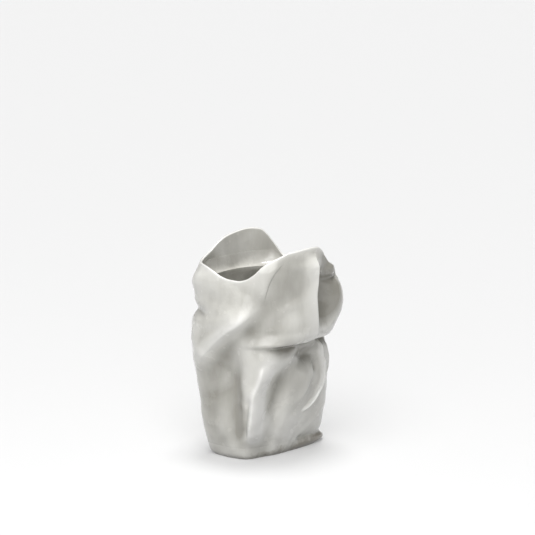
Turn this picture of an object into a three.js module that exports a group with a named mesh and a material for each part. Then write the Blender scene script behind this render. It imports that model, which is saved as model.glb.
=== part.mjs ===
// Owl vase, hand built from slabs of glazed stoneware.
// Millimetres, +Z up. The origin is the centre of the resting face, and the owl looks along -Y.
//
// Every wall is a slab cut from one shared outer surface. A place on that surface is a bearing, in degrees
// from the beak round the owl's right side, and a level: 0 on top of the base slab, 1 at the neck, where
// the breast meets the face, and 2 at the top of the brow.

import * as THREE from 'three';

// Heights above the table
const BASE_THICKNESS = 12;
const FOOT_FLARE_HEIGHT = 4;
const NECK_HEIGHT = 116;
const MOUTH_HEIGHT = 183;
const BROW_HEIGHT = 216.5;
const CREST_HEIGHT = 216;

// Walls, and the slip that joins one slab to the next
const WALL = 5;
const LIP_WALL = 3;
const LIP_TAPER = 30;
const LIP_ROUND = 1.4;
const SLIP_JOINT = 0.4;

// Throat ring: an oval opening, set a little to the owl's right and just below the mouth. Its top flares up
// to a share of the way to the lip, and it bridges dents in the wall that are narrower than the bridge.
const THROAT_DROP = 5;
const THROAT_WIDTH = 116;
const THROAT_DEPTH = 92;
const THROAT_SHIFT = 4;
const THROAT_EDGE = 5;
const THROAT_SEAT = 14;
const THROAT_FLARE = 14;
const THROAT_LEDGE = 3;
const THROAT_CLEARANCE = 0.7;
const THROAT_BRIDGE = 8;
const FLARE_BELOW_LIP = 0.7;

// Bearings of the seams that run up the back, level of the seam under the crest, and level at which the
// shoulder ridges run into the back
const BACK_SEAM_RIGHT = 125;
const BACK_SEAM_LEFT = -125;
const CREST_LEVEL = 1.32;
const RIDGE_END_LEVEL = 0.7;

// Bearings at which the wings' front edges meet the foot, and the face seams meet the rim
const RIGHT_WING_TOE = 63;
const LEFT_WING_TOE = 44;
const RIGHT_CREASE_TOP = 26;
const LEFT_CREASE_TOP = -34;
const BEAK_TOP = -3.5;

// Facets along each seam
const WING_ROWS = 21;
const NECK_ROWS = 8;
const CREST_ROWS = 5;
const COLLAR_ROWS = 7;
const RIGHT_FACE_COLUMNS = 14;
const LEFT_FACE_COLUMNS = 13;
const RIGHT_WING_COLUMNS = 19;
const LEFT_WING_COLUMNS = 18;
const BACK_COLUMNS = 17;
const FOOT_COLUMNS = 72;
const THROAT_COLUMNS = 72;
const LIP_STEPS = 3;
const SEAT_STEPS = 4;
const FLARE_STEPS = 4;
const CREASE_ROWS = COLLAR_ROWS + CREST_ROWS;
const FACE_ROWS = NECK_ROWS + CREASE_ROWS;
const FLANK_ROWS = WING_ROWS + NECK_ROWS;

// Steps from each point of a seam or path to the next, where the distance to it is measured
const STEPS_PER_SPAN = 6;

// Glaze, and the same glaze where it is thinner along the foot or in the shade of the mouth
const GLAZE = 0xcdccc6;
const SHADED_GLAZE = 0xb9b7b0;
const GLAZE_ROUGHNESS = 0.28;

// Marks in the clay are measured along the wall at this mean radius
const MEAN_RADIUS = 60;
const RADIAN = Math.PI / 180;
const FULL_TURN = 360;
const HALF_TURN = FULL_TURN / 2;
const ARC = MEAN_RADIUS * RADIAN;

// Plan of the vase at each height: how far it reaches to the owl's right, left, front and back, and how
// square its front and back corners are, where 2 is an ellipse.
const PLAN = [
  [0, 51, 62, 26, 33, 4, 5],
  [FOOT_FLARE_HEIGHT, 54, 68.5, 28.5, 36, 4.2, 5],
  [BASE_THICKNESS, 55.5, 61, 30, 37, 4.4, 5],
  [level(0.32), 61, 62, 37, 43, 4.8, 4.8],
  [level(0.7), 65.5, 61.5, 42, 50, 4.6, 4.8],
  [level(0.92), 66, 58.5, 45, 53, 4.2, 4.8],
  [level(0.99), 66, 57.5, 46, 53, 4, 4.8],
  [level(1.05), 66, 58.5, 59, 53, 3.2, 4.8],
  [level(1.19), 66, 62.5, 64, 54, 2.6, 4.6],
  [level(1.49), 64, 62, 66.5, 52, 2.3, 4.4],
  [level(1.74), 63.5, 62, 66.5, 55, 2.2, 2.9],
  [level(1.9), 59, 60, 64.5, 56, 2.2, 2.6],
  [level(2.05), 57, 58, 61, 58, 2.2, 2.5],
];

// Rim: bearing, share of the way from the mouth up to a peak, and that peak.
const RIM = [
  [0, 0.97, BROW_HEIGHT],
  [10, 0.95, BROW_HEIGHT],
  [26, 0.885, BROW_HEIGHT],
  [34, 0.785, BROW_HEIGHT],
  [42, 0.67, BROW_HEIGHT],
  [50, 0.5, BROW_HEIGHT],
  [58, 0.25, BROW_HEIGHT],
  [66, 0.09, BROW_HEIGHT],
  [75, 0.03, BROW_HEIGHT],
  [85, 0.035, CREST_HEIGHT],
  [95, 0.1, CREST_HEIGHT],
  [105, 0.235, CREST_HEIGHT],
  [115, 0.32, CREST_HEIGHT],
  [135, 0.37, CREST_HEIGHT],
  [150, 0.488, CREST_HEIGHT],
  [170, 0.767, CREST_HEIGHT],
  [180, 0.864, CREST_HEIGHT],
  [195, 0.945, CREST_HEIGHT],
  [210, 1, CREST_HEIGHT],
  [222, 0.96, CREST_HEIGHT],
  [228, 0.8, CREST_HEIGHT],
  [236, 0.45, CREST_HEIGHT],
  [243, 0.15, CREST_HEIGHT],
  [252, 0.03, CREST_HEIGHT],
  [275, 0, CREST_HEIGHT],
  [300, 0.07, BROW_HEIGHT],
  [312, 0.16, BROW_HEIGHT],
  [325, 0.25, BROW_HEIGHT],
  [334, 0.4, BROW_HEIGHT],
  [339, 0.58, BROW_HEIGHT],
  [345, 0.82, BROW_HEIGHT],
  [352, 0.95, BROW_HEIGHT],
];

// Dents and swells pressed by hand. Push is outward; a higher edge gives a flatter middle.
const PRESSES = [
  { mark: 'left eye hollow', bearing: -17, level: 1.47, wide: 22, tall: 52, push: -13, tilt: 0, edge: 2.4 },
  { mark: 'left cheek', bearing: -41, level: 1.41, wide: 28, tall: 46, push: 10, tilt: 0, edge: 2.8 },
  { mark: 'left brow', bearing: -26, level: 1.71, wide: 20, tall: 14, push: 4, tilt: 0, edge: 2.6 },
  { mark: 'brow notch', bearing: -31, level: 1.63, wide: 30, tall: 7, push: -3, tilt: 0, edge: 2 },
  { mark: 'right cheek', bearing: 27, level: 1.49, wide: 24, tall: 90, push: 2.5, tilt: 0, edge: 2.2 },
  { mark: 'right temple', bearing: 22, level: 1.66, wide: 34, tall: 56, push: -5, tilt: 0, edge: 2 },
  { mark: 'right jowl', bearing: 22, level: 1.14, wide: 40, tall: 44, push: 5, tilt: 0, edge: 2.4 },
  { mark: 'near side', bearing: 40, level: 0.86, wide: 52, tall: 140, push: -12, tilt: 0, edge: 3.5 },
  { mark: 'near toe', bearing: 56, level: -0.05, wide: 34, tall: 44, push: -6, tilt: 0, edge: 2 },
  { mark: 'flank hollow', bearing: 84, level: 0.74, wide: 40, tall: 76, push: -12, tilt: 25, edge: 2.4 },
  { mark: 'flank foot', bearing: 76, level: 0.4, wide: 22, tall: 70, push: -8, tilt: 0, edge: 2.2 },
  { mark: 'far flank', bearing: -90, level: 0.68, wide: 42, tall: 76, push: -5, tilt: -20, edge: 2.4 },
  { mark: 'shoulder hollow', bearing: 60, level: 1.16, wide: 18, tall: 28, push: -2.5, tilt: 0, edge: 2 },
  { mark: 'chin hollow', bearing: -20, level: 0.86, wide: 44, tall: 20, push: -8, tilt: 0, edge: 2 },
  { mark: 'chin notch', bearing: -45, level: 1, wide: 22, tall: 14, push: -5, tilt: 0, edge: 2 },
  { mark: 'belly swell', bearing: -14, level: 0.56, wide: 34, tall: 44, push: 4, tilt: 30, edge: 2.2 },
  { mark: 'belly top', bearing: 36, level: 0.86, wide: 44, tall: 40, push: 14, tilt: 0, edge: 2 },
  { mark: 'wing dent', bearing: -35, level: 0.73, wide: 8, tall: 14, push: -4, tilt: 0, edge: 2 },
  { mark: 'collar slope', bearing: 84, level: 1.76, wide: 60, tall: 44, push: -5, tilt: 0, edge: 2 },
  { mark: 'collar flare', bearing: 128, level: 1.62, wide: 68, tall: 24, push: 4.5, tilt: 0, edge: 2.2 },
  { mark: 'low flank', bearing: 110, level: 0.17, wide: 60, tall: 48, push: 2.5, tilt: 0, edge: 2 },
  { mark: 'back hollow', bearing: 163, level: 0.62, wide: 50, tall: 84, push: -5, tilt: 18, edge: 2.4 },
];

// Seams between slabs, as bearing and level. Those that run up and down start at the top, the ridges start
// at the face, and the neck runs from the owl's left to its right.
const RIGHT_CREASE = [[29, 1.89], [34, 1.83], [39, 1.76], [44, 1.64], [47, 1.52], [48, 1.46]];
const RIGHT_RIDGE = [
  [48, 1.46], [58, 1.38], [68, 1.27], [83, 1.14], [99, 0.96], [108, 0.84],
  [BACK_SEAM_RIGHT, RIDGE_END_LEVEL],
];
const RIGHT_WING_NECK = [[48, 1.46], [49.5, 1.25], [50, 1.03]];
const RIGHT_WING_FRONT = [
  [50, 1.03], [46, 0.86], [52, 0.67], [57, 0.53], [59, 0.33], [62, 0.12], [RIGHT_WING_TOE, 0],
];
const BEAK_SEAM = [[-3, 1.94], [-1, 1.79], [0, 1.64], [1.5, 1.49], [0, 1.29], [-2, 1.08], [-2, 1]];
const RIGHT_NECK = [[-2, 1], [20, 1], [40, 1], [50, 1.03]];
const LEFT_NECK = [[-38, 1], [-20, 1], [-2, 1]];
const LEFT_CREASE = [[-36, 1.74], [-42, 1.64], [-47, 1.54], [-51, 1.44], [-52, 1.34]];
const LEFT_RIDGE = [
  [-52, 1.34], [-68, 1.24], [-85, 1.1], [-100, 0.94], [-110, 0.83], [BACK_SEAM_LEFT, RIDGE_END_LEVEL],
];
const LEFT_WING_NECK = [[-52, 1.34], [-47, 1.17], [-38, 1]];
const LEFT_WING_LAP = [
  [-38, 1], [-41, 0.9], [-41.5, 0.8], [-44, 0.68], [-45, 0.59], [-43, 0.49], [-38, 0.41], [-29, 0.33],
  [-19, 0.285],
];
const LEFT_WING_FRONT = [...LEFT_WING_LAP, [-6, 0.25], [8, 0.22], [24, 0.15], [LEFT_WING_TOE, 0]];

// Pinched ridges and drawn grooves. Widths are on the greater and the lesser bearing side of the path, and
// the mark fades out over the given share of the path at both ends.
const PINCHES = [
  { mark: 'beak ridge', path: BEAK_SEAM, greater: 10, lesser: 4, push: 6.5, edge: 1.2, fade: 0.15 },
  { mark: 'shoulder ridge', path: RIGHT_RIDGE, greater: 22, lesser: 6, push: 9, edge: 1.5, fade: 0.3 },
  { mark: 'far shoulder ridge', path: LEFT_RIDGE, greater: 7, lesser: 16, push: 7, edge: 1.3, fade: 0.2 },
  {
    mark: 'near ridge',
    path: RIGHT_WING_FRONT.slice(1),
    greater: 5, lesser: 12, push: 8, edge: 1.9, fade: 0.2,
  },
  {
    mark: 'ridge crease',
    path: [[60, 0.56], [64, 0.4], [66.5, 0.24], [67.5, 0.08]],
    greater: 3, lesser: 3, push: -3, edge: 1.6, fade: 0.25,
  },
  {
    mark: 'belly valley',
    path: [[-4, 0.91], [12, 0.75], [28, 0.56], [40, 0.37], [50, 0.15]],
    greater: 9, lesser: 14, push: -2, edge: 1.7, fade: 0.25,
  },
  {
    mark: 'nape',
    path: [[100, CREST_LEVEL - 0.02], [125, CREST_LEVEL], [150, CREST_LEVEL], [180, CREST_LEVEL + 0.02]],
    greater: 6, lesser: 6, push: -5, edge: 1.8, fade: 0.25,
  },
  {
    mark: 'back fold',
    path: [[206, 1.24], [194, 0.98], [183, 0.7], [178, 0.4], [176, 0.12]],
    greater: 9, lesser: 14, push: 5, edge: 1.5, fade: 0.3,
  },
  {
    mark: 'neck fold',
    path: [[52, 1], [36, 0.985], [20, 0.985], [0, 0.99], [-20, 1], [-45, 1], [-62, 0.99]],
    greater: 3, lesser: 3, push: -2.6, edge: 1.5, fade: 0.2,
  },
  {
    mark: 'foot groove',
    path: [[-75, 0], [-60, 0], [-40, 0], [-20, 0]],
    greater: 3.5, lesser: 3.5, push: -3, edge: 1.6, fade: 0.3,
  },
];

// Lapped edges: the named slab stands proud along its seam and sinks back over the reach.
const LAPS = [
  { on: 'right_shoulder', path: RIGHT_CREASE, push: 2.2, reach: 10, fade: 0.25 },
  { on: 'left_shoulder', path: LEFT_CREASE, push: 2, reach: 9, fade: 0.2 },
  { on: 'left_wing', path: LEFT_WING_LAP, push: 3.5, reach: 9, fade: 0.2 },
];

function level(share) {
  if (share < 1) {
    return BASE_THICKNESS + share * (NECK_HEIGHT - BASE_THICKNESS);
  }
  return NECK_HEIGHT + (share - 1) * (BROW_HEIGHT - NECK_HEIGHT);
}

function turn(degrees) {
  return ((((degrees + HALF_TURN) % FULL_TURN) + FULL_TURN) % FULL_TURN) - HALF_TURN;
}

// A curve through the points that rises and falls only where they do.
function steadyCurve(xs, ys) {
  const last = xs.length - 1;
  const gaps = xs.slice(1).map((x, i) => x - xs[i]);
  const slopes = gaps.map((gap, i) => (ys[i + 1] - ys[i]) / gap);
  const tangents = xs.map((x, i) => {
    if (i === 0 || i === last) {
      return slopes[Math.min(i, last - 1)];
    }
    if (slopes[i - 1] * slopes[i] <= 0) {
      return 0;
    }
    const before = 2 * gaps[i] + gaps[i - 1];
    const after = gaps[i] + 2 * gaps[i - 1];
    return (before + after) / (before / slopes[i - 1] + after / slopes[i]);
  });
  return (x) => {
    let i = 0;
    while (i < last - 1 && x > xs[i + 1]) {
      i += 1;
    }
    const t = THREE.MathUtils.clamp((x - xs[i]) / gaps[i], 0, 1);
    const start = (2 * t ** 3 - 3 * t ** 2 + 1) * ys[i] + (t ** 3 - 2 * t ** 2 + t) * gaps[i] * tangents[i];
    const end = (3 * t ** 2 - 2 * t ** 3) * ys[i + 1] + (t ** 3 - t ** 2) * gaps[i] * tangents[i + 1];
    return start + end;
  };
}

const planHeights = PLAN.map((row) => row[0]);
const planColumn = (column) => steadyCurve(planHeights, PLAN.map((row) => row[column]));
const planCurves = [1, 2, 3, 4, 5, 6].map(planColumn);

function planRadius(bearing, height) {
  const [right, left, front, back, squareFront, squareBack] = planCurves.map((curve) => curve(height));
  const across = Math.sin(bearing * RADIAN);
  const ahead = Math.cos(bearing * RADIAN);
  const side = across >= 0 ? right : left;
  const depth = ahead >= 0 ? front : back;
  const square = ahead >= 0 ? squareFront : squareBack;
  return (Math.abs(ahead / depth) ** square + Math.abs(across / side) ** square) ** (-1 / square);
}

const turnedRim = (lap) => RIM.map((row) => [row[0] + lap, row[1], row[2]]);
const rimPoints = [-FULL_TURN, 0, FULL_TURN].flatMap(turnedRim);
const rimCurve = steadyCurve(
  rimPoints.map((row) => row[0]),
  rimPoints.map((row) => MOUTH_HEIGHT + row[1] * (row[2] - MOUTH_HEIGHT)),
);

// Top of the straight wall, where the rounded lip starts.
function lipHeight(bearing) {
  return rimCurve(turn(bearing)) - LIP_ROUND;
}

// A seam or path as points along the wall: millimetres round it at the mean radius, and height.
function wallPath(points) {
  return points.map(([bearing, share]) => new THREE.Vector2(bearing * ARC, level(share)));
}

const traced = new Map();

function trace(path) {
  if (!traced.has(path)) {
    const curve = new THREE.SplineCurve(wallPath(path));
    const points = curve.getPoints(STEPS_PER_SPAN * (path.length - 1));
    const lengths = points.map((point, i) => (i === 0 ? 0 : point.distanceTo(points[i - 1])));
    const run = lengths.map((length, i) => lengths.slice(0, i + 1).reduce((sum, part) => sum + part, 0));
    traced.set(path, { points, run, middle: path[Math.floor(path.length / 2)][0] });
  }
  return traced.get(path);
}

// Distance from a place on the wall to a path, whether it lies on the greater bearing side of a path that
// runs down, and how far along the path its nearest point is, from 0 to 1.
function nearPath(path, bearing, height) {
  const { points, run, middle } = trace(path);
  const place = new THREE.Vector2((middle + turn(bearing - middle)) * ARC, height);
  const best = { distance: Infinity, greater: true, along: 0 };
  for (let i = 0; i < points.length - 1; i += 1) {
    const span = points[i + 1].clone().sub(points[i]);
    const offset = place.clone().sub(points[i]);
    const t = THREE.MathUtils.clamp(offset.dot(span) / span.lengthSq(), 0, 1);
    const distance = offset.clone().addScaledVector(span, -t).length();
    if (distance < best.distance) {
      best.distance = distance;
      best.greater = span.cross(offset) > 0;
      best.along = (run[i] + t * (run[i + 1] - run[i])) / run[run.length - 1];
    }
  }
  return best;
}

function fadeOut(along, fade) {
  const share = Math.min(along / fade, 1) * Math.min((1 - along) / fade, 1);
  return share * share * (3 - 2 * share);
}

function pressDepth(press, bearing, height) {
  const across = turn(bearing - press.bearing) * ARC;
  const up = height - level(press.level);
  const tilt = press.tilt * RADIAN;
  const along = (across * Math.cos(tilt) + up * Math.sin(tilt)) / (press.wide / 2);
  const beside = (up * Math.cos(tilt) - across * Math.sin(tilt)) / (press.tall / 2);
  return press.push * Math.exp(-(Math.hypot(along, beside) ** press.edge));
}

function pinchDepth(pinch, bearing, height) {
  const near = nearPath(pinch.path, bearing, height);
  const width = near.greater ? pinch.greater : pinch.lesser;
  const share = Math.exp(-((near.distance / width) ** pinch.edge));
  return pinch.push * share * fadeOut(near.along, pinch.fade);
}

function lapRise(lap, bearing, height) {
  const near = nearPath(lap.path, bearing, height);
  return lap.push * Math.exp(-near.distance / lap.reach) * fadeOut(near.along, lap.fade);
}

function sum(values) {
  return values.reduce((total, value) => total + value, 0);
}

function wallThickness(bearing, height) {
  const below = THREE.MathUtils.clamp((lipHeight(bearing) - height) / LIP_TAPER, 0, 1);
  return LIP_WALL + (WALL - LIP_WALL) * below;
}

// Outer and inner radius of a slab. Grooves and dents push the whole wall in, while ridges and lapped
// edges only thicken it.
function wallRadii(slabName, bearing, height) {
  const body = planRadius(bearing, height) + sum(PRESSES.map((press) => pressDepth(press, bearing, height)));
  const pinches = PINCHES.map((pinch) => pinchDepth(pinch, bearing, height));
  const laps = LAPS.filter((lap) => lap.on === slabName).map((lap) => lapRise(lap, bearing, height));
  const grooves = sum(pinches.filter((depth) => depth < 0));
  const outer = body + sum(pinches) + sum(laps);
  return { outer, inner: body + grooves - wallThickness(bearing, height) };
}

function onWall(radius, bearing, height) {
  return [-radius * Math.sin(bearing * RADIAN), -radius * Math.cos(bearing * RADIAN), height];
}

// Seam points evenly spaced along a curve, as bearing and height.
function spaced(points, steps) {
  return new THREE.SplineCurve(points).getSpacedPoints(steps).map((point) => [point.x / ARC, point.y]);
}

function acrossSeam(path, steps) {
  return spaced(wallPath(path), steps);
}

function upSeam(path, steps) {
  return spaced(wallPath(path).reverse(), steps);
}

// A crease that runs on up to the rim.
function upSeamToRim(path, topBearing, steps) {
  const end = new THREE.Vector2(topBearing * ARC, lipHeight(topBearing));
  return spaced([...wallPath(path).reverse(), end], steps);
}

function straightSeam(start, end, steps) {
  return Array.from({ length: steps + 1 }, (unused, i) => [
    THREE.MathUtils.lerp(start[0], end[0], i / steps),
    THREE.MathUtils.lerp(start[1], end[1], i / steps),
  ]);
}

function levelSeam(start, end, height, steps) {
  return straightSeam([start, height], [end, height], steps);
}

function rimSeam(start, end, steps) {
  return levelSeam(start, end, 0, steps).map(([bearing]) => [bearing, lipHeight(bearing)]);
}

function joined(first, second) {
  return [...first, ...second.slice(1)];
}

function goneRound(edge) {
  return edge.map(([bearing, height]) => [bearing + FULL_TURN, height]);
}

// Unit normals along an edge that point into its slab, measured in millimetres on the wall.
function inwardNormals(edge, side) {
  return edge.map(([bearing, height], i) => {
    const before = edge[Math.max(i - 1, 0)];
    const after = edge[Math.min(i + 1, edge.length - 1)];
    const radius = planRadius(bearing, height);
    const sideways = (after[0] - before[0]) * RADIAN * radius;
    const along = new THREE.Vector2(sideways, after[1] - before[1]).normalize();
    return new THREE.Vector2(along.y * side, -along.x * side);
  });
}

function shifted([bearing, height], move) {
  return [bearing + move.x / (planRadius(bearing, height) * RADIAN), height + move.y];
}

// Move that takes a corner away from each of its two edges by the given clearance.
function cornerMove(first, firstClear, second, secondClear) {
  const x = firstClear * second.y - secondClear * first.y;
  const y = secondClear * first.x - firstClear * second.x;
  return new THREE.Vector2(x, y).divideScalar(first.cross(second));
}

// Draws the four edges of a slab in by half the slip joint. An edge on the rim stays where it is.
function drawnIn(edges, onRim) {
  const half = SLIP_JOINT / 2;
  const normals = {
    low: inwardNormals(edges.low, 1),
    high: inwardNormals(edges.high, -1),
    bottom: inwardNormals(edges.bottom, -1),
    top: inwardNormals(edges.top, 1),
  };
  const drawn = {};
  for (const name of ['low', 'high', 'bottom', 'top']) {
    const distance = name === 'top' && onRim ? 0 : half;
    const moves = normals[name].map((normal) => normal.clone().multiplyScalar(distance));
    drawn[name] = edges[name].map((point, i) => shifted(point, moves[i]));
  }
  for (const [side, row] of [['low', 'bottom'], ['low', 'top'], ['high', 'bottom'], ['high', 'top']]) {
    const sideEnd = row === 'bottom' ? 0 : edges.low.length - 1;
    const rowEnd = side === 'low' ? 0 : edges.bottom.length - 1;
    const corner = edges[side][sideEnd];
    const clearRow = row === 'top' && onRim ? 0 : half;
    const move = cornerMove(normals[side][sideEnd], half, normals[row][rowEnd], clearRow);
    drawn[side][sideEnd] = shifted(corner, move);
    drawn[row][rowEnd] = drawn[side][sideEnd];
  }
  return drawn;
}

// Places inside four edges, blended from all of them.
function spread({ low, high, bottom, top }) {
  const columns = bottom.length - 1;
  const rows = low.length - 1;
  return bottom.map((unused, i) => {
    const u = i / columns;
    return low.map((alsoUnused, j) => {
      const v = j / rows;
      return [0, 1].map((axis) => {
        const acrossRows = (1 - v) * bottom[i][axis] + v * top[i][axis];
        const acrossColumns = (1 - u) * low[j][axis] + u * high[j][axis];
        const lowCorners = (1 - v) * low[0][axis] + v * low[rows][axis];
        const highCorners = (1 - v) * high[0][axis] + v * high[rows][axis];
        return acrossRows + acrossColumns - (1 - u) * lowCorners - u * highCorners;
      });
    });
  });
}

// One column of a slab as a closed loop: up the outside, over the lip if it has one, and down the inside.
function columnLoop(name, places, onRim) {
  const outside = [];
  const inside = [];
  for (const [bearing, height] of places) {
    const { outer, inner } = wallRadii(name, bearing, height);
    outside.push(onWall(outer, bearing, height));
    inside.unshift(onWall(inner, bearing, height));
  }
  const lip = [];
  if (onRim) {
    const [bearing, height] = places[places.length - 1];
    const { outer, inner } = wallRadii(name, bearing, height);
    for (let step = 1; step <= LIP_STEPS; step += 1) {
      const angle = (Math.PI * step) / (LIP_STEPS + 1);
      const radius = (outer + inner) / 2 + ((outer - inner) / 2) * Math.cos(angle);
      lip.push(onWall(radius, bearing, height + LIP_ROUND * Math.sin(angle)));
    }
  }
  return [...outside, ...lip, ...inside];
}

function solid(positions, triangles) {
  const geometry = new THREE.BufferGeometry();
  geometry.setAttribute('position', new THREE.Float32BufferAttribute(positions.flat(), 3));
  geometry.setIndex(triangles.flat());
  geometry.computeVertexNormals();
  return geometry;
}

function piece(name, geometry, color) {
  const material = new THREE.MeshStandardMaterial({ color, roughness: GLAZE_ROUGHNESS, metalness: 0 });
  const mesh = new THREE.Mesh(geometry, material);
  mesh.name = name;
  return mesh;
}

// A slab between its low and high bearing edges and its bottom and top edges.
function slab(name, edges, { onRim = false } = {}) {
  const grid = spread(drawnIn(edges, onRim));
  const loops = grid.map((places) => columnLoop(name, places, onRim));
  const count = loops[0].length;
  const triangles = [];
  for (let i = 0; i < loops.length - 1; i += 1) {
    for (let k = 0; k < count; k += 1) {
      const next = (k + 1) % count;
      const [a, b, c, d] = [i * count + k, (i + 1) * count + k, (i + 1) * count + next, i * count + next];
      triangles.push([a, d, c], [a, c, b]);
    }
  }
  const lastLoop = (loops.length - 1) * count;
  for (let k = 0; 2 * k + 3 <= count; k += 1) {
    const [a, b, c, d] = [k, k + 1, count - 2 - k, count - 1 - k];
    triangles.push([a, d, c], [lastLoop + a, lastLoop + c, lastLoop + d]);
    if (b !== c) {
      triangles.push([a, c, b], [lastLoop + a, lastLoop + b, lastLoop + c]);
    }
  }
  return piece(name, solid(loops.flat(), triangles), GLAZE);
}

// Seams that neighbouring slabs share
const beakSeam = upSeamToRim(BEAK_SEAM, BEAK_TOP, FACE_ROWS);
const rightNeck = acrossSeam(RIGHT_NECK, RIGHT_FACE_COLUMNS);
const leftNeck = acrossSeam(LEFT_NECK, LEFT_FACE_COLUMNS);
const rightCrease = upSeamToRim(RIGHT_CREASE, RIGHT_CREASE_TOP, CREASE_ROWS);
const leftCrease = upSeamToRim(LEFT_CREASE, LEFT_CREASE_TOP, CREASE_ROWS);
const rightWingNeck = upSeam(RIGHT_WING_NECK, NECK_ROWS);
const leftWingNeck = upSeam(LEFT_WING_NECK, NECK_ROWS);
const rightWingFront = upSeam(RIGHT_WING_FRONT, WING_ROWS);
const leftWingFront = upSeam(LEFT_WING_FRONT, WING_ROWS);
const rightRidge = acrossSeam(RIGHT_RIDGE, RIGHT_WING_COLUMNS);
const leftRidge = acrossSeam(LEFT_RIDGE, LEFT_WING_COLUMNS).reverse();
const crestSeam = levelSeam(BACK_SEAM_RIGHT, BACK_SEAM_LEFT + FULL_TURN, level(CREST_LEVEL), BACK_COLUMNS);

function backSeams(bearing) {
  const ridgeEnd = [bearing, level(RIDGE_END_LEVEL)];
  const crestFoot = [bearing, level(CREST_LEVEL)];
  return {
    low: straightSeam([bearing, BASE_THICKNESS], ridgeEnd, FLANK_ROWS),
    middle: straightSeam(ridgeEnd, crestFoot, COLLAR_ROWS),
    high: straightSeam(crestFoot, [bearing, lipHeight(bearing)], CREST_ROWS),
  };
}

const rightBack = backSeams(BACK_SEAM_RIGHT);
const leftBack = backSeams(BACK_SEAM_LEFT);

function footSeam(start, end, steps) {
  return levelSeam(start, end, BASE_THICKNESS, steps);
}

// Base slab: a flat slab whose edge flares a little and rounds in under the foot.
function baseSlab() {
  const top = BASE_THICKNESS - SLIP_JOINT / 2;
  const heights = [0, FOOT_FLARE_HEIGHT / 2, FOOT_FLARE_HEIGHT, (FOOT_FLARE_HEIGHT + top) / 2, top];
  const positions = [[0, 0, 0], [0, 0, top]];
  const triangles = [];
  const at = (column, row) => 2 + (column % FOOT_COLUMNS) * heights.length + row;
  for (let column = 0; column < FOOT_COLUMNS; column += 1) {
    const bearing = (FULL_TURN * column) / FOOT_COLUMNS;
    for (const height of heights) {
      positions.push(onWall(wallRadii('base_slab', bearing, height).outer, bearing, height));
    }
    const last = heights.length - 1;
    triangles.push([0, at(column, 0), at(column + 1, 0)], [1, at(column + 1, last), at(column, last)]);
    for (let row = 0; row < last; row += 1) {
      const [a, b] = [at(column, row), at(column + 1, row)];
      triangles.push([a, a + 1, b + 1], [a, b + 1, b]);
    }
  }
  return piece('base_slab', solid(positions, triangles), SHADED_GLAZE);
}

// Radius of the oval throat opening from the vase's axis.
function throatRadius(bearing) {
  const across = Math.sin(bearing * RADIAN) / (THROAT_WIDTH / 2);
  const ahead = Math.cos(bearing * RADIAN) / (THROAT_DEPTH / 2);
  const shift = THROAT_SHIFT / (THROAT_WIDTH / 2);
  const square = across ** 2 + ahead ** 2;
  return (across * shift + Math.sqrt((across * shift) ** 2 + square * (1 - shift ** 2))) / square;
}

function levels(start, end, steps) {
  return Array.from({ length: steps + 1 }, (unused, i) => THREE.MathUtils.lerp(start, end, i / steps));
}

// How far the throat ring reaches out: it bridges the dents in the wall that are narrower than itself.
function clearOfWall(bearing, height) {
  const bearings = [-1, -0.5, 0, 0.5, 1].map((share) => bearing + (share * THROAT_BRIDGE) / ARC);
  const radii = bearings.map((place) => wallRadii('throat_ring', place, height).inner);
  return Math.min(...radii) - THROAT_CLEARANCE;
}

// Throat ring: follows the inside of the walls, and its top sweeps from the opening up into the crest.
function throatRing() {
  const top = MOUTH_HEIGHT - THROAT_DROP;
  const positions = [];
  const triangles = [];
  for (let column = 0; column < THROAT_COLUMNS; column += 1) {
    const bearing = (FULL_TURN * column) / THROAT_COLUMNS;
    const wallAt = (height) => clearOfWall(bearing, height);
    const flareTop = top + Math.min(THROAT_FLARE, FLARE_BELOW_LIP * (lipHeight(bearing) - top));
    const opening = Math.min(throatRadius(bearing), wallAt(top) - THROAT_LEDGE);
    const flareEnd = Math.min(...levels(top, flareTop, FLARE_STEPS).map(wallAt)) - THROAT_CLEARANCE;
    const seatHeights = levels(flareTop, top - THROAT_SEAT, SEAT_STEPS);
    const section = seatHeights.map((height) => [wallAt(height), height]);
    section.push([opening + THROAT_EDGE / 4, top - THROAT_EDGE], [opening, top - THROAT_EDGE / 2]);
    for (let step = 0; step < FLARE_STEPS; step += 1) {
      const angle = (Math.PI / 2) * (step / FLARE_STEPS);
      const radius = THREE.MathUtils.lerp(opening, flareEnd, Math.sin(angle));
      section.push([radius, THREE.MathUtils.lerp(flareTop, top, Math.cos(angle))]);
    }
    const count = section.length;
    const nextColumn = ((column + 1) % THROAT_COLUMNS) * count;
    section.forEach(([radius, height], k) => {
      const next = (k + 1) % count;
      const [a, b, c, d] = [column * count + k, nextColumn + k, nextColumn + next, column * count + next];
      positions.push(onWall(radius, bearing, height));
      triangles.push([a, c, d], [a, b, c]);
    });
  }
  return piece('throat_ring', solid(positions, triangles), SHADED_GLAZE);
}

const breastWall = slab('breast_wall', {
  low: leftWingFront,
  high: rightWingFront,
  bottom: footSeam(LEFT_WING_TOE, RIGHT_WING_TOE, LEFT_FACE_COLUMNS + RIGHT_FACE_COLUMNS),
  top: joined(leftNeck, rightNeck),
});

const rightWing = slab('right_wing', {
  low: joined(rightWingFront, rightWingNeck),
  high: rightBack.low,
  bottom: footSeam(RIGHT_WING_TOE, BACK_SEAM_RIGHT, RIGHT_WING_COLUMNS),
  top: rightRidge,
});

const leftWing = slab('left_wing', {
  low: leftBack.low,
  high: joined(leftWingFront, leftWingNeck),
  bottom: footSeam(BACK_SEAM_LEFT, LEFT_WING_TOE, LEFT_WING_COLUMNS),
  top: leftRidge,
});

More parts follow.
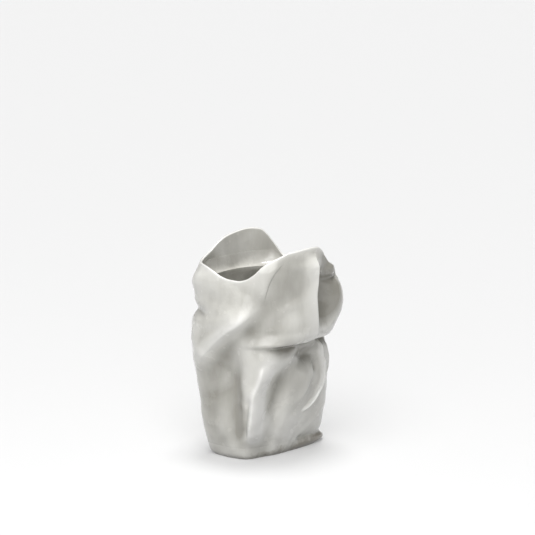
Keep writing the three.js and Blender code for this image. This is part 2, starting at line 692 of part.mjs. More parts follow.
const backWall = slab('back_wall', {
  low: joined(rightBack.low, rightBack.middle),
  high: goneRound(joined(leftBack.low, leftBack.middle)),
  bottom: footSeam(BACK_SEAM_RIGHT, BACK_SEAM_LEFT + FULL_TURN, BACK_COLUMNS),
  top: crestSeam,
});

const rightShoulder = slab('right_shoulder', {
  low: rightCrease,
  high: joined(rightBack.middle, rightBack.high),
  bottom: rightRidge,
  top: rimSeam(RIGHT_CREASE_TOP, BACK_SEAM_RIGHT, RIGHT_WING_COLUMNS),
}, { onRim: true });

const leftShoulder = slab('left_shoulder', {
  low: joined(leftBack.middle, leftBack.high),
  high: leftCrease,
  bottom: leftRidge,
  top: rimSeam(BACK_SEAM_LEFT, LEFT_CREASE_TOP, LEFT_WING_COLUMNS),
}, { onRim: true });

const rightFace = slab('right_face', {
  low: beakSeam,
  high: joined(rightWingNeck, rightCrease),
  bottom: rightNeck,
  top: rimSeam(BEAK_TOP, RIGHT_CREASE_TOP, RIGHT_FACE_COLUMNS),
}, { onRim: true });

const leftFace = slab('left_face', {
  low: joined(leftWingNeck, leftCrease),
  high: beakSeam,
  bottom: leftNeck,
  top: rimSeam(LEFT_CREASE_TOP, BEAK_TOP, LEFT_FACE_COLUMNS),
}, { onRim: true });

const backCrest = slab('back_crest', {
  low: rightBack.high,
  high: goneRound(leftBack.high),
  bottom: crestSeam,
  top: rimSeam(BACK_SEAM_RIGHT, BACK_SEAM_LEFT + FULL_TURN, BACK_COLUMNS),
}, { onRim: true });

const vase = new THREE.Group();
vase.add(baseSlab(), breastWall, rightWing, leftWing, backWall);
vase.add(rightShoulder, leftShoulder, rightFace, leftFace, backCrest, throatRing());

export default vase;
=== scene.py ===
import math

import bpy
import numpy as np
from mathutils import Matrix, Vector


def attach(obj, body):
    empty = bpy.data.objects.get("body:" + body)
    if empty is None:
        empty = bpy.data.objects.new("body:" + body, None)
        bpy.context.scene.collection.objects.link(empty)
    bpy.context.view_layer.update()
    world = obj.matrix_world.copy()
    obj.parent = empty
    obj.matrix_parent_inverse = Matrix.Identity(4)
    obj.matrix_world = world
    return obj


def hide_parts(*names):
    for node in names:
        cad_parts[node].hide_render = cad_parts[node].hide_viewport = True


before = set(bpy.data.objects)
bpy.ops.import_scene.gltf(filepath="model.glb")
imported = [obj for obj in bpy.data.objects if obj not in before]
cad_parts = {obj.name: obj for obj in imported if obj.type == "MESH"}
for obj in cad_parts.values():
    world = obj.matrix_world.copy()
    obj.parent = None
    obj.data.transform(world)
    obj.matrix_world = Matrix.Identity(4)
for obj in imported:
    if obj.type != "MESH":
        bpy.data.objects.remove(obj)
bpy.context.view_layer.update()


# Clay body: the outside of the vase is one crumpled wall of pale stoneware, built up from soft slabs and
# then pinched, dented and creased by hand. Each slab further down is a stretch of this one surface, so
# that neighbours meet edge to edge. Clay sizes are in millimetres.
MM = 0.001
BASE_THICKNESS = 12
FOOT_FLARE_HEIGHT = 4
NECK_HEIGHT = 116
BROW_HEIGHT = 216.5
MEAN_RADIUS = 60
ARC = math.radians(MEAN_RADIUS)


# A place on the wall is a bearing, in degrees from the beak round the owl's right side, and a level
def level(share):
    """Height of a level: 0 on top of the base, 1 at the neck and 2 at the brow."""
    lower = BASE_THICKNESS + share * (NECK_HEIGHT - BASE_THICKNESS)
    upper = NECK_HEIGHT + (share - 1) * (BROW_HEIGHT - NECK_HEIGHT)
    return lower if share < 1 else upper


def turn(degrees):
    return (degrees + 180) % 360 - 180


def steady_curve(xs, ys):
    """A curve through the points that rises and falls only where they do."""
    xs, ys = np.array(xs, float), np.array(ys, float)
    gaps = np.diff(xs)
    slopes = np.diff(ys) / gaps
    tangents = np.concatenate([slopes[:1], np.zeros(len(xs) - 2), slopes[-1:]])
    for i in range(1, len(xs) - 1):
        if slopes[i - 1] * slopes[i] > 0:
            before, after = 2 * gaps[i] + gaps[i - 1], gaps[i] + 2 * gaps[i - 1]
            tangents[i] = (before + after) / (before / slopes[i - 1] + after / slopes[i])

    def curve(x):
        i = np.clip(np.searchsorted(xs, x) - 1, 0, len(xs) - 2)
        t = np.clip((x - xs[i]) / gaps[i], 0, 1)
        start = (2 * t**3 - 3 * t**2 + 1) * ys[i] + (t**3 - 2 * t**2 + t) * gaps[i] * tangents[i]
        return start + (3 * t**2 - 2 * t**3) * ys[i + 1] + (t**3 - t**2) * gaps[i] * tangents[i + 1]

    return curve


# Plan at each height: reach to the owl's right, left, front and back, and how square the front and back are
PLAN = np.array([
    (0, 51, 62, 26, 33, 4, 5),
    (FOOT_FLARE_HEIGHT, 54, 68.5, 28.5, 36, 4.2, 5),
    (BASE_THICKNESS, 55.5, 61, 30, 37, 4.4, 5),
    (level(0.32), 61, 62, 37, 43, 4.8, 4.8),
    (level(0.7), 65.5, 61.5, 42, 50, 4.6, 4.8),
    (level(0.92), 66, 58.5, 45, 53, 4.2, 4.8),
    (level(0.99), 66, 57.5, 46, 53, 4, 4.8),
    (level(1.05), 66, 58.5, 59, 53, 3.2, 4.8),
    (level(1.19), 66, 62.5, 64, 54, 2.6, 4.6),
    (level(1.49), 64, 62, 66.5, 52, 2.3, 4.4),
    (level(1.74), 63.5, 62, 66.5, 55, 2.2, 2.9),
    (level(1.9), 59, 60, 64.5, 56, 2.2, 2.6),
    (level(2.05), 57, 58, 61, 58, 2.2, 2.5),
])
plan_curves = [steady_curve(PLAN[:, 0], PLAN[:, column]) for column in range(1, 7)]


def plan_radius(bearing, height):
    right, left, front, back, square_front, square_back = [curve(height) for curve in plan_curves]
    across, ahead = np.sin(np.radians(bearing)), np.cos(np.radians(bearing))
    side = np.where(across >= 0, right, left)
    depth = np.where(ahead >= 0, front, back)
    square = np.where(ahead >= 0, square_front, square_back)
    return (np.abs(ahead / depth) ** square + np.abs(across / side) ** square) ** (-1 / square)


# Dents and swells: bearing, level, width, height, push outward, tilt, and how flat the middle is
PRESSES = {
    "left eye hollow": (-17, 1.47, 22, 52, -13, 0, 2.4),
    "left cheek": (-41, 1.41, 28, 46, 10, 0, 2.8),
    "left brow": (-26, 1.71, 20, 14, 4, 0, 2.6),
    "brow notch": (-31, 1.63, 30, 7, -3, 0, 2),
    "right cheek": (27, 1.49, 24, 90, 2.5, 0, 2.2),
    "right temple": (22, 1.66, 34, 56, -5, 0, 2),
    "flank hollow": (84, 0.74, 40, 76, -12, 25, 2.4),
    "flank foot": (76, 0.4, 22, 70, -8, 0, 2.2),
    "far flank hollow": (-90, 0.68, 42, 76, -5, -20, 2.4),
    "shoulder hollow": (60, 1.16, 18, 28, -2.5, 0, 2),
    "chin hollow": (-20, 0.86, 44, 20, -8, 0, 2),
    "chin notch": (-45, 1.0, 22, 14, -5, 0, 2),
    "belly swell": (-14, 0.56, 34, 44, 4, 30, 2.2),
    "belly top": (36, 0.86, 44, 40, 14, 0, 2),
    "wing dent": (-35, 0.73, 8, 14, -4, 0, 2),
    "right jowl": (22, 1.14, 40, 44, 5, 0, 2.4),
    "near side": (40, 0.86, 52, 140, -12, 0, 3.5),
    "near toe": (56, -0.05, 34, 44, -6, 0, 2),
    "collar slope": (84, 1.76, 60, 44, -5, 0, 2),
    "collar flare": (128, 1.62, 68, 24, 4.5, 0, 2.2),
    "low flank": (110, 0.17, 60, 48, 2.5, 0, 2),
    "back hollow": (163, 0.62, 50, 84, -5, 18, 2.4),
}

# Seams between slabs that are also pinched or lapped, as bearing and level
BACK_SEAM_RIGHT = 125
BACK_SEAM_LEFT = -125
RIDGE_END_LEVEL = 0.7
RIGHT_WING_TOE = 63
LEFT_WING_TOE = 44
RIGHT_RIDGE = [
    (48, 1.46), (58, 1.38), (68, 1.27), (83, 1.14), (99, 0.96), (108, 0.84),
    (BACK_SEAM_RIGHT, RIDGE_END_LEVEL),
]
RIGHT_WING_FRONT = [
    (50, 1.03), (46, 0.86), (52, 0.67), (57, 0.53), (59, 0.33), (62, 0.12), (RIGHT_WING_TOE, 0),
]
NEAR_RIDGE = RIGHT_WING_FRONT[1:]
BEAK_SEAM = [(-3, 1.94), (-1, 1.79), (0, 1.64), (1.5, 1.49), (0, 1.29), (-2, 1.08), (-2, 1)]
LEFT_RIDGE = [
    (-52, 1.34), (-68, 1.24), (-85, 1.1), (-100, 0.94), (-110, 0.83), (BACK_SEAM_LEFT, RIDGE_END_LEVEL),
]
WING_LIP = [
    (-38, 1), (-41, 0.9), (-41.5, 0.8), (-44, 0.68), (-45, 0.59), (-43, 0.49), (-38, 0.41), (-29, 0.33),
    (-19, 0.285),
]
LEFT_WING_FRONT = WING_LIP + [(-6, 0.25), (8, 0.22), (24, 0.15), (LEFT_WING_TOE, 0)]

# Pinched ridges and drawn grooves: path, width on its greater and lesser bearing side, push outward, how
# round the top is, and the share of the path over which it fades at each end
PINCHES = {
    "beak ridge": (BEAK_SEAM, 10, 4, 6.5, 1.2, 0.15),
    "shoulder ridge": (RIGHT_RIDGE, 22, 6, 9, 1.5, 0.3),
    "far shoulder ridge": (LEFT_RIDGE, 7, 16, 7, 1.3, 0.2),
    "near ridge": (NEAR_RIDGE, 5, 12, 8, 1.9, 0.2),
    "ridge crease": ([(60, 0.56), (64, 0.4), (66.5, 0.24), (67.5, 0.08)], 3, 3, -3, 1.6, 0.25),
    "belly valley": ([(-4, 0.91), (12, 0.75), (28, 0.56), (40, 0.37), (50, 0.15)], 9, 14, -2, 1.7, 0.25),
    "nape": ([(100, 1.3), (125, 1.32), (150, 1.32), (180, 1.34)], 6, 6, -5, 1.8, 0.25),
    "back fold": ([(206, 1.24), (194, 0.98), (183, 0.7), (178, 0.4), (176, 0.12)], 9, 14, 5, 1.5, 0.3),
    "neck fold": (
        [(52, 1), (36, 0.985), (20, 0.985), (0, 0.99), (-20, 1), (-45, 1), (-62, 0.99)],
        3, 3, -2.6, 1.5, 0.2,
    ),
    "wing fold": ([(-46, 0.98), (-49, 0.92), (-53, 0.8), (-54, 0.68), (-53, 0.58)], 2, 2.5, 1.6, 2, 0.25),
    "wing lip": (WING_LIP, 1.5, 2.5, 2.2, 2, 0.1),
    "foot groove": ([(-75, 0), (-60, 0), (-40, 0), (-20, 0)], 3.5, 3.5, -3, 1.6, 0.3),
}

# Unevenness left by the fingers: strength, waves round the vase, waves up it per metre, and phase. The
# waves drift sideways by two slower ones.
FINGER_WAVES = [
    (0.22, 5, 19, 0.4), (0.18, 7, -27, 2.1), (0.14, 11, 31, 4.0), (0.1, 13, -43, 1.2), (0.08, 19, 52, 5.2),
]
FINGER_DRIFT = [(1.6, 3, 17), (1.2, 4, -11)]


def smooth_line(places, steps):
    """The places joined by a smooth curve, with this many steps from each to the next."""
    ends = np.vstack([places[:1], places, places[-1:]])
    t = np.linspace(0, 1, steps, endpoint=False)[:, None]
    spans = []
    for before, start, end, after in zip(ends, ends[1:], ends[2:], ends[3:]):
        out, into = (end - before) / 2, (after - start) / 2
        first = (2 * t**3 - 3 * t**2 + 1) * start + (t**3 - 2 * t**2 + t) * out
        spans.append(first + (3 * t**2 - 2 * t**3) * end + (t**3 - t**2) * into)
    return np.vstack(spans + [places[-1:]])


def smooth_path(points, steps=8):
    """A path as a smooth line of millimetres round the wall at the mean radius, and height."""
    places = np.array([(bearing * ARC, level(share)) for bearing, share in points])
    return smooth_line(places, steps)


def near_path(path, bearing, height):
    """Distance to a path, whether a place is on its greater bearing side, and the share of the way along."""
    line = smooth_path(path)
    middle = path[len(path) // 2][0]
    place = np.stack([(middle + turn(bearing - middle)) * ARC, height], -1)
    lengths = np.linalg.norm(np.diff(line, axis=0), axis=1)
    run = np.concatenate([[0], np.cumsum(lengths)]) / lengths.sum()
    distance = np.full(np.shape(height), np.inf)
    greater = np.zeros(np.shape(height), bool)
    along = np.zeros(np.shape(height))
    for i, (start, end) in enumerate(zip(line, line[1:])):
        span, offset = end - start, place - start
        t = np.clip(offset @ span / (span @ span), 0, 1)
        gap = np.linalg.norm(offset - t[..., None] * span, axis=-1)
        closer = gap < distance
        distance = np.where(closer, gap, distance)
        greater = np.where(closer, span[0] * offset[..., 1] - span[1] * offset[..., 0] > 0, greater)
        along = np.where(closer, run[i] + t * (run[i + 1] - run[i]), along)
    return distance, greater, along


def fade_out(along, fade):
    share = np.minimum(along / fade, 1) * np.minimum((1 - along) / fade, 1)
    return share * share * (3 - 2 * share)


def press_depth(press, bearing, height):
    centre, share, wide, tall, push, tilt, edge = press
    across, up = turn(bearing - centre) * ARC, height - level(share)
    lean = math.radians(tilt)
    along = (across * math.cos(lean) + up * math.sin(lean)) / (wide / 2)
    beside = (up * math.cos(lean) - across * math.sin(lean)) / (tall / 2)
    return push * np.exp(-np.hypot(along, beside) ** edge)


def pinch_depth(pinch, bearing, height):
    path, wide_greater, wide_lesser, push, edge, fade = pinch
    distance, greater, along = near_path(path, bearing, height)
    width = np.where(greater, wide_greater, wide_lesser)
    return push * np.exp(-(distance / width) ** edge) * fade_out(along, fade)


def crumpled(bearing, height):
    """Radius of the dented wall before its pinches, and how far each pinch pushes it out."""
    presses = [press_depth(press, bearing, height) for press in PRESSES.values()]
    pinches = [pinch_depth(pinch, bearing, height) for pinch in PINCHES.values()]
    return plan_radius(bearing, height) + sum(presses), pinches


def outer_wall(bearing, height, lap=None):
    """Radius of the outside of the wall, with a slab's lapped edge where it has one."""
    body, pinches = crumpled(bearing, height)
    outer = body + sum(pinches)
    if lap:
        outer = outer + lap(bearing, height)
    angle, rise = np.radians(bearing), height * MM * 2 * math.pi
    drift = sum(strength * np.sin(around * angle + up * rise) for strength, around, up in FINGER_DRIFT)
    for strength, around, up, phase in FINGER_WAVES:
        outer = outer + strength * np.sin(angle * around + rise * up + phase + drift)
    return outer


def on_wall(radius, bearing, height):
    angle = np.radians(bearing)
    return np.stack([-radius * np.sin(angle), -radius * np.cos(angle), height], -1)


# Glaze on the whole body: opaque, pale warm grey, satin to glossy, poured over the clay and fired. It runs
# down in faint streaks. It is darker in the hollows and creases and paler off the edges, partly as the glaze
# gathering thick and running thin and partly as painted shade and painted highlights. Along the foot, most
# of all on the owl's left, a darker ragged band is partly worn-off glaze showing the brownish clay and
# partly painted shade under the rounded foot.
PROUD_REACH = 14
POOLED_AND_SHADED_AT = -6
THIN_AND_HIGHLIT_AT = 7
RUNS = 5
RUN_STRETCH = 0.3
# A darker ragged band along the foot, most on the owl's left, is partly bare clay and partly painted shade
# under the rounded foot.
FOOT_DARK_BAND = (0.011, 0.019)
FOOT_RAGGED = 0.018
FOOT_LEFT_DARKER = -0.11
BARE_AND_SHADED_FOOT = (0.29, 0.27, 0.23)
COAT = 0.65
COAT_ROUGHNESS = 0.08
SHEEN_SPAN = (0.3, 0.7)
WAVE_STRENGTH = 0.5
WAVE_HEIGHT = 1.1
GRAIN_STRENGTH = 0.05
GRAIN_HEIGHT = 0.05

# Scale, detail and roughness of each noise
RUN_NOISE = (55, 4, 0.6)
FOOT_NOISE = (130, 4, 0.6)
SHEEN_NOISE = (70, 2, 0.5)
BRUSH_NOISE = (110, 3, 0.5)
PINHOLE_NOISE = (1400, 1, 0.4)

# Painted shade (a push below 0) and painted light (a push above 0) on named places, as presses, and painted
# highlights along edges, as pinches
PAINTED_SHADE_AND_LIGHT = {
    "eye": (-28, 1.49, 22, 44, -15, 0, 2.4),
    "brow": (-22, 1.77, 26, 40, -11, 0, 2.4),
    "temple": (30, 1.72, 40, 64, -5, 0, 2),
    "collar": (64, 1.42, 34, 34, -1.4, 0, 2),
    "flank": (90, 0.3, 60, 80, -3, 0, 2),
    "flank edge": (113, 0.45, 24, 110, -4, 0, 2),
    "neck": (30, 1.1, 44, 24, -5, 0, 2),
    "belly": (-4, 0.6, 50, 44, -3.5, 0, 2),
    "beside the ridge": (73, 0.3, 16, 80, -3, 0, 2),
    "upper fold": (44, 0.88, 16, 26, 4, 0, 2),
    "under the belly": (0, 0.12, 80, 36, 6, 0, 2),
}
# Along the wing lip and the near ridge: partly glaze running thin off the edge, partly painted highlight.
PAINTED_EDGE_HIGHLIGHTS = {
    "wing lip": (WING_LIP, 1.6, 2.2, 7, 2, 0.06),
    "near ridge": (NEAR_RIDGE, 3, 13, 9, 2, 0.12),
}


def glaze_and_painted_light(bearing, height, lap=None):
    """How far the outside rises above the clay around it, in millimetres, which darkens hollows and pales
    edges partly as painted shade and highlight, plus painted patches and painted edge highlights.
    """
    turned = PROUD_REACH / ARC
    around = [(turned, 0), (-turned, 0), (0, PROUD_REACH), (0, -PROUD_REACH)]
    ring = [outer_wall(bearing + across, height + up, lap) for across, up in around]
    painted_patches = sum(press_depth(patch, bearing, height) for patch in PAINTED_SHADE_AND_LIGHT.values())
    edges = sum(pinch_depth(edge, bearing, height) for edge in PAINTED_EDGE_HIGHLIGHTS.values())
    return outer_wall(bearing, height, lap) - np.mean(ring, axis=0) + painted_patches + edges


def glaze(name, thin_and_highlit, clean, pooled_and_shaded, sheen):
    """The glaze, with its palest colour (glaze running off edges and painted highlights), its clean colour
    and its darkest (glaze gathering in hollows and painted shade), and its least and most roughness.
    """
    material = bpy.data.materials.new(name)
    material.use_nodes = True
    nodes, links = material.node_tree.nodes, material.node_tree.links
    shader = nodes["Principled BSDF"]

    def node(kind, inputs=None, **settings):
        made = nodes.new("ShaderNode" + kind)
        for setting, value in settings.items():
            setattr(made, setting, value)
        for socket, value in (inputs or {}).items():
            made.inputs[socket].default_value = value
        return made

    place = node("TexCoord").outputs["Object"]

    def noise(scale, detail, roughness, where=place):
        texture = node("TexNoise", {"Scale": scale, "Detail": detail, "Roughness": roughness})
        links.new(where, texture.inputs["Vector"])
        return texture.outputs["Fac"]

    # Glaze thickness together with painted shade and painted highlights, carried by each piece.
    tone_with_painted_light = node("Attribute", attribute_name="glaze_and_painted_light")
    hanging = node("Mapping", {"Scale": (1, 1, RUN_STRETCH)})
    links.new(place, hanging.inputs["Vector"])
    runs = node("Math", {1: RUNS}, operation="MULTIPLY_ADD")
    links.new(noise(*RUN_NOISE, where=hanging.outputs["Vector"]), runs.inputs[0])
    links.new(tone_with_painted_light.outputs["Fac"], runs.inputs[2])
    # Glaze thickness and painted light together, mapped onto the colours from darkest to palest.
    thickness = node("MapRange", {"From Min": POOLED_AND_SHADED_AT + RUNS / 2, "From Max": THIN_AND_HIGHLIT_AT + RUNS / 2})
    links.new(runs.outputs["Value"], thickness.inputs["Value"])
    tint = node("ValToRGB")
    tint.color_ramp.elements[0].color = (*pooled_and_shaded, 1)
    tint.color_ramp.elements[1].color = (*thin_and_highlit, 1)
    middle = tint.color_ramp.elements.new(-POOLED_AND_SHADED_AT / (THIN_AND_HIGHLIT_AT - POOLED_AND_SHADED_AT))
    middle.color = (*clean, 1)
    links.new(thickness.outputs["Result"], tint.inputs["Fac"])

    # A ragged darker band along the foot, most on the owl's left: partly bare clay, partly painted shade
    # under the rounded foot.
    apart = node("SeparateXYZ")
    links.new(place, apart.inputs["Vector"])
    darker_left = node("Math", {1: FOOT_LEFT_DARKER}, operation="MULTIPLY_ADD")
    links.new(apart.outputs["X"], darker_left.inputs[0])
    links.new(apart.outputs["Z"], darker_left.inputs[2])
    ragged = node("Math", {1: FOOT_RAGGED}, operation="MULTIPLY_ADD")
    links.new(noise(*FOOT_NOISE), ragged.inputs[0])
    links.new(darker_left.outputs["Value"], ragged.inputs[2])
    dark_band = node("MapRange", {"From Min": FOOT_DARK_BAND[0], "From Max": FOOT_DARK_BAND[1]})
    links.new(ragged.outputs["Value"], dark_band.inputs["Value"])
    foot = node("Mix", {"A": (*BARE_AND_SHADED_FOOT, 1)}, data_type="RGBA")
    links.new(dark_band.outputs["Result"], foot.inputs["Factor"])
    links.new(tint.outputs["Color"], foot.inputs["B"])
    links.new(foot.outputs["Result"], shader.inputs["Base Color"])

    gloss = node("MapRange", {
        "From Min": SHEEN_SPAN[0], "From Max": SHEEN_SPAN[1], "To Min": sheen[0], "To Max": sheen[1],
    })
    links.new(noise(*SHEEN_NOISE), gloss.inputs["Value"])
    links.new(gloss.outputs["Result"], shader.inputs["Roughness"])
    shader.inputs["Coat Weight"].default_value = COAT
    shader.inputs["Coat Roughness"].default_value = COAT_ROUGHNESS

    waves = node("Bump", {"Strength": WAVE_STRENGTH, "Distance": WAVE_HEIGHT * MM})
    links.new(noise(*BRUSH_NOISE), waves.inputs["Height"])
    grain = node("Bump", {"Strength": GRAIN_STRENGTH, "Distance": GRAIN_HEIGHT * MM})
    links.new(noise(*PINHOLE_NOISE), grain.inputs["Height"])
    links.new(waves.outputs["Normal"], grain.inputs["Normal"])
    links.new(grain.outputs["Normal"], shader.inputs["Normal"])
    return material


# Base slab: the flat, thick slab of clay that the vase stands on, with the walls luted to its top. Its edge
# flares into a small flange and rounds in under the foot, where the glaze is thinner and a little duller.
FOOT_COLUMNS = 360
FOOT_ROWS = 14
SHARP_ANGLE = 62
# Its darkest colour is pooled glaze and painted shade, its palest thin glaze and painted highlights.
foot_glaze = glaze(
    "foot_glaze", thin_and_highlit=(0.75, 0.745, 0.715), clean=(0.63, 0.622, 0.582), pooled_and_shaded=(0.45, 0.44, 0.4),
    sheen=(0.24, 0.4),
)


def clay_object(name, positions, faces, material, tone_with_painted_light, loop_normals=None):
    mesh = bpy.data.meshes.new(name)
    mesh.from_pydata((positions * MM).tolist(), [], faces)
    mesh.shade_smooth()
    mesh.set_sharp_from_angle(angle=math.radians(SHARP_ANGLE))
    if loop_normals is not None:
        mesh.normals_split_custom_set(loop_normals.tolist())
    # This tone attribute carries glaze thickness, painted shade and painted highlights.
    mesh.attributes.new("glaze_and_painted_light", "FLOAT", "POINT").data.foreach_set("value", tone_with_painted_light.ravel())
    mesh.materials.append(material)
    piece = bpy.data.objects.new(name, mesh)
    bpy.context.scene.collection.objects.link(piece)
    return piece


def finish_piece(piece, node):
    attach(piece, "root")
    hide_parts(node)


foot_bearing, foot_height = np.meshgrid(
    np.linspace(0, 360, FOOT_COLUMNS, endpoint=False), np.linspace(0, BASE_THICKNESS, FOOT_ROWS),
    indexing="ij",
)
foot_points = on_wall(outer_wall(foot_bearing, foot_height), foot_bearing, foot_height).reshape(-1, 3)
foot_faces = []
for i in range(FOOT_COLUMNS):
    column, following = i * FOOT_ROWS, (i + 1) % FOOT_COLUMNS * FOOT_ROWS
    for k in range(FOOT_ROWS - 1):
        foot_faces.append((column + k, column + k + 1, following + k + 1, following + k))
foot_faces.append([i * FOOT_ROWS for i in range(FOOT_COLUMNS)])
foot_faces.append([i * FOOT_ROWS + FOOT_ROWS - 1 for i in reversed(range(FOOT_COLUMNS))])
foot_tone_with_painted_light = glaze_and_painted_light(foot_bearing, foot_height)
base_slab = clay_object("base_slab_glazed", foot_points, foot_faces, foot_glaze, foot_tone_with_painted_light)
finish_piece(base_slab, "base_slab")


# Breast wall: the folded slab of clay below the chin, between both wings, luted to the base with slip.
# The near ridge runs down its right edge, and the left wing laps over its other one.
WALL = 5
LIP_WALL = 3
LIP_TAPER = 30
LIP_ROUND = 1.4
LIP_STEPS = 8
# The rim's lip and the wall just below it are paler: partly glaze running thin off the lip, partly painted
# highlight.
LIP_PAINTED_HIGHLIGHT = 5
LIP_HIGHLIGHT_FALLOFF = 2
# The whole inside is painted darker as shade, with one painted highlight patch on the inside of the crest.
INSIDE_PAINTED_SHADE = -2.5
PAINTED_INSIDE_HIGHLIGHT = (234, 1.84, 22, 30, 12, 0, 2)
PITCH = 1.2
EDGE_STEPS = np.array([0.05, 0.15, 0.35, 0.65, 1.05, 1.6, 2.3])
EDGE_CLEAR = 1.3
SEAM_POINTS = 241
SEAM_STEPS = 24
FACING_STEP = 0.3
RIGHT_NECK = [(-2, 1), (20, 1), (40, 1), (50, 1.03)]
LEFT_NECK = [(-38, 1), (-20, 1), (-2, 1)]
# Its darkest colour is pooled glaze and painted shade, its palest thin glaze and painted highlights.
body_glaze = glaze(
    "body_glaze", thin_and_highlit=(0.79, 0.783, 0.752), clean=(0.63, 0.622, 0.58), pooled_and_shaded=(0.305, 0.295, 0.26),
    sheen=(0.16, 0.3),
)

# Rim of the whole body: bearing, share of the way from the mouth up to a peak, and that peak. The wall
# thins towards it, so the rim has to be known to every slab.
MOUTH_HEIGHT = 183
CREST_HEIGHT = 216
RIM = np.array([
    (0, 0.97, BROW_HEIGHT), (10, 0.95, BROW_HEIGHT), (26, 0.885, BROW_HEIGHT), (34, 0.785, BROW_HEIGHT),
    (42, 0.67, BROW_HEIGHT), (50, 0.5, BROW_HEIGHT), (58, 0.25, BROW_HEIGHT), (66, 0.09, BROW_HEIGHT),
    (75, 0.03, BROW_HEIGHT), (85, 0.035, CREST_HEIGHT), (95, 0.1, CREST_HEIGHT),
    (105, 0.235, CREST_HEIGHT), (115, 0.32, CREST_HEIGHT), (135, 0.37, CREST_HEIGHT),
    (150, 0.488, CREST_HEIGHT), (170, 0.767, CREST_HEIGHT), (180, 0.864, CREST_HEIGHT),
    (195, 0.945, CREST_HEIGHT), (210, 1, CREST_HEIGHT), (222, 0.96, CREST_HEIGHT),
    (228, 0.8, CREST_HEIGHT), (236, 0.45, CREST_HEIGHT), (243, 0.15, CREST_HEIGHT),
    (252, 0.03, CREST_HEIGHT), (275, 0, CREST_HEIGHT), (300, 0.07, BROW_HEIGHT), (312, 0.16, BROW_HEIGHT),
    (325, 0.25, BROW_HEIGHT), (334, 0.4, BROW_HEIGHT), (339, 0.58, BROW_HEIGHT), (345, 0.82, BROW_HEIGHT),
    (352, 0.95, BROW_HEIGHT),
])
rim_curve = steady_curve(
    np.concatenate([RIM[:, 0] - 360, RIM[:, 0], RIM[:, 0] + 360]),
    np.tile(MOUTH_HEIGHT + RIM[:, 1] * (RIM[:, 2] - MOUTH_HEIGHT), 3),
)


def lip_height(bearing):
    return rim_curve(turn(bearing)) - LIP_ROUND


def inner_wall(bearing, height):
    """Radius of the inside of the wall. Dents and grooves push it in, ridges and laps leave it as it is."""
    body, pinches = crumpled(bearing, height)
    below = np.clip((lip_height(bearing) - height) / LIP_TAPER, 0, 1)
    thickness = LIP_WALL + (WALL - LIP_WALL) * below
    return body + sum(np.minimum(depth, 0) for depth in pinches) - thickness


def outward(wall, bearing, height):
    """Which way a wall faces, away from the middle of the vase, the same on both sides of a seam."""
    turned = FACING_STEP / ARC

    def at(more_bearing, more_height):
        place = bearing + more_bearing, height + more_height
        return on_wall(wall(*place), *place)

    normal = np.cross(at(0, FACING_STEP) - at(0, -FACING_STEP), at(turned, 0) - at(-turned, 0))
    normal /= np.linalg.norm(normal, axis=-1, keepdims=True)
    return normal * np.sign(np.sum(normal[..., :2] * at(0, 0)[..., :2], -1, keepdims=True))


def even(line):
    """The same line with its points evenly spaced."""
    run = np.concatenate([[0], np.cumsum(np.linalg.norm(np.diff(line, axis=0), axis=1))])
    steps = np.linspace(0, run[-1], SEAM_POINTS)
    return np.stack([np.interp(steps, run, line[:, axis]) for axis in (0, 1)], -1)


def seam(*paths):
    """A seam that runs along the given paths, one after the other."""
    lines = [smooth_path(path, SEAM_STEPS) for path in paths]
    return even(np.vstack([lines[0]] + [line[1:] for line in lines[1:]]))


def up_seam(*paths):
    return seam(*paths)[::-1]


def straight_seam(start, end):
    """A straight seam from one bearing and height to another."""
    ends = np.array([(start[0] * ARC, start[1]), (end[0] * ARC, end[1])], float)
    return even(ends)


def foot_seam(start, end):
    return straight_seam((start, BASE_THICKNESS), (end, BASE_THICKNESS))


def steps_along(edge, fine_start=False, fine_end=False, pitch=PITCH):
    """Shares of the way along an edge, about a pitch apart and closer together next to a lapped edge."""
    length = np.linalg.norm(np.diff(edge, axis=0), axis=1).sum()
    shares = np.linspace(0, 1, round(length / pitch) + 1)
    near = EDGE_STEPS / length
    if fine_start:
        shares = np.concatenate([[0], near, shares[shares > EDGE_CLEAR * near[-1]]])
    if fine_end:
        shares = np.concatenate([shares[shares < 1 - EDGE_CLEAR * near[-1]], 1 - near[::-1], [1]])
    return shares


def spread(low, high, bottom, top, across, up):
    """Places inside four edges, blended from all of them, as bearing and height."""
    def along(edge, shares):
        run = np.linspace(0, 1, len(edge))
        return np.stack([np.interp(shares, run, edge[:, axis]) for axis in (0, 1)], -1)

    u, v = across[:, None, None], up[None, :, None]
    rows = (1 - v) * along(bottom, across)[:, None] + v * along(top, across)[:, None]
    columns = (1 - u) * along(low, up)[None] + u * along(high, up)[None]
    low_corners = (1 - v) * low[0] + v * low[-1]
    high_corners = (1 - v) * high[0] + v * high[-1]
    places = rows + columns - (1 - u) * low_corners - u * high_corners
    return places[..., 0] / ARC, places[..., 1]


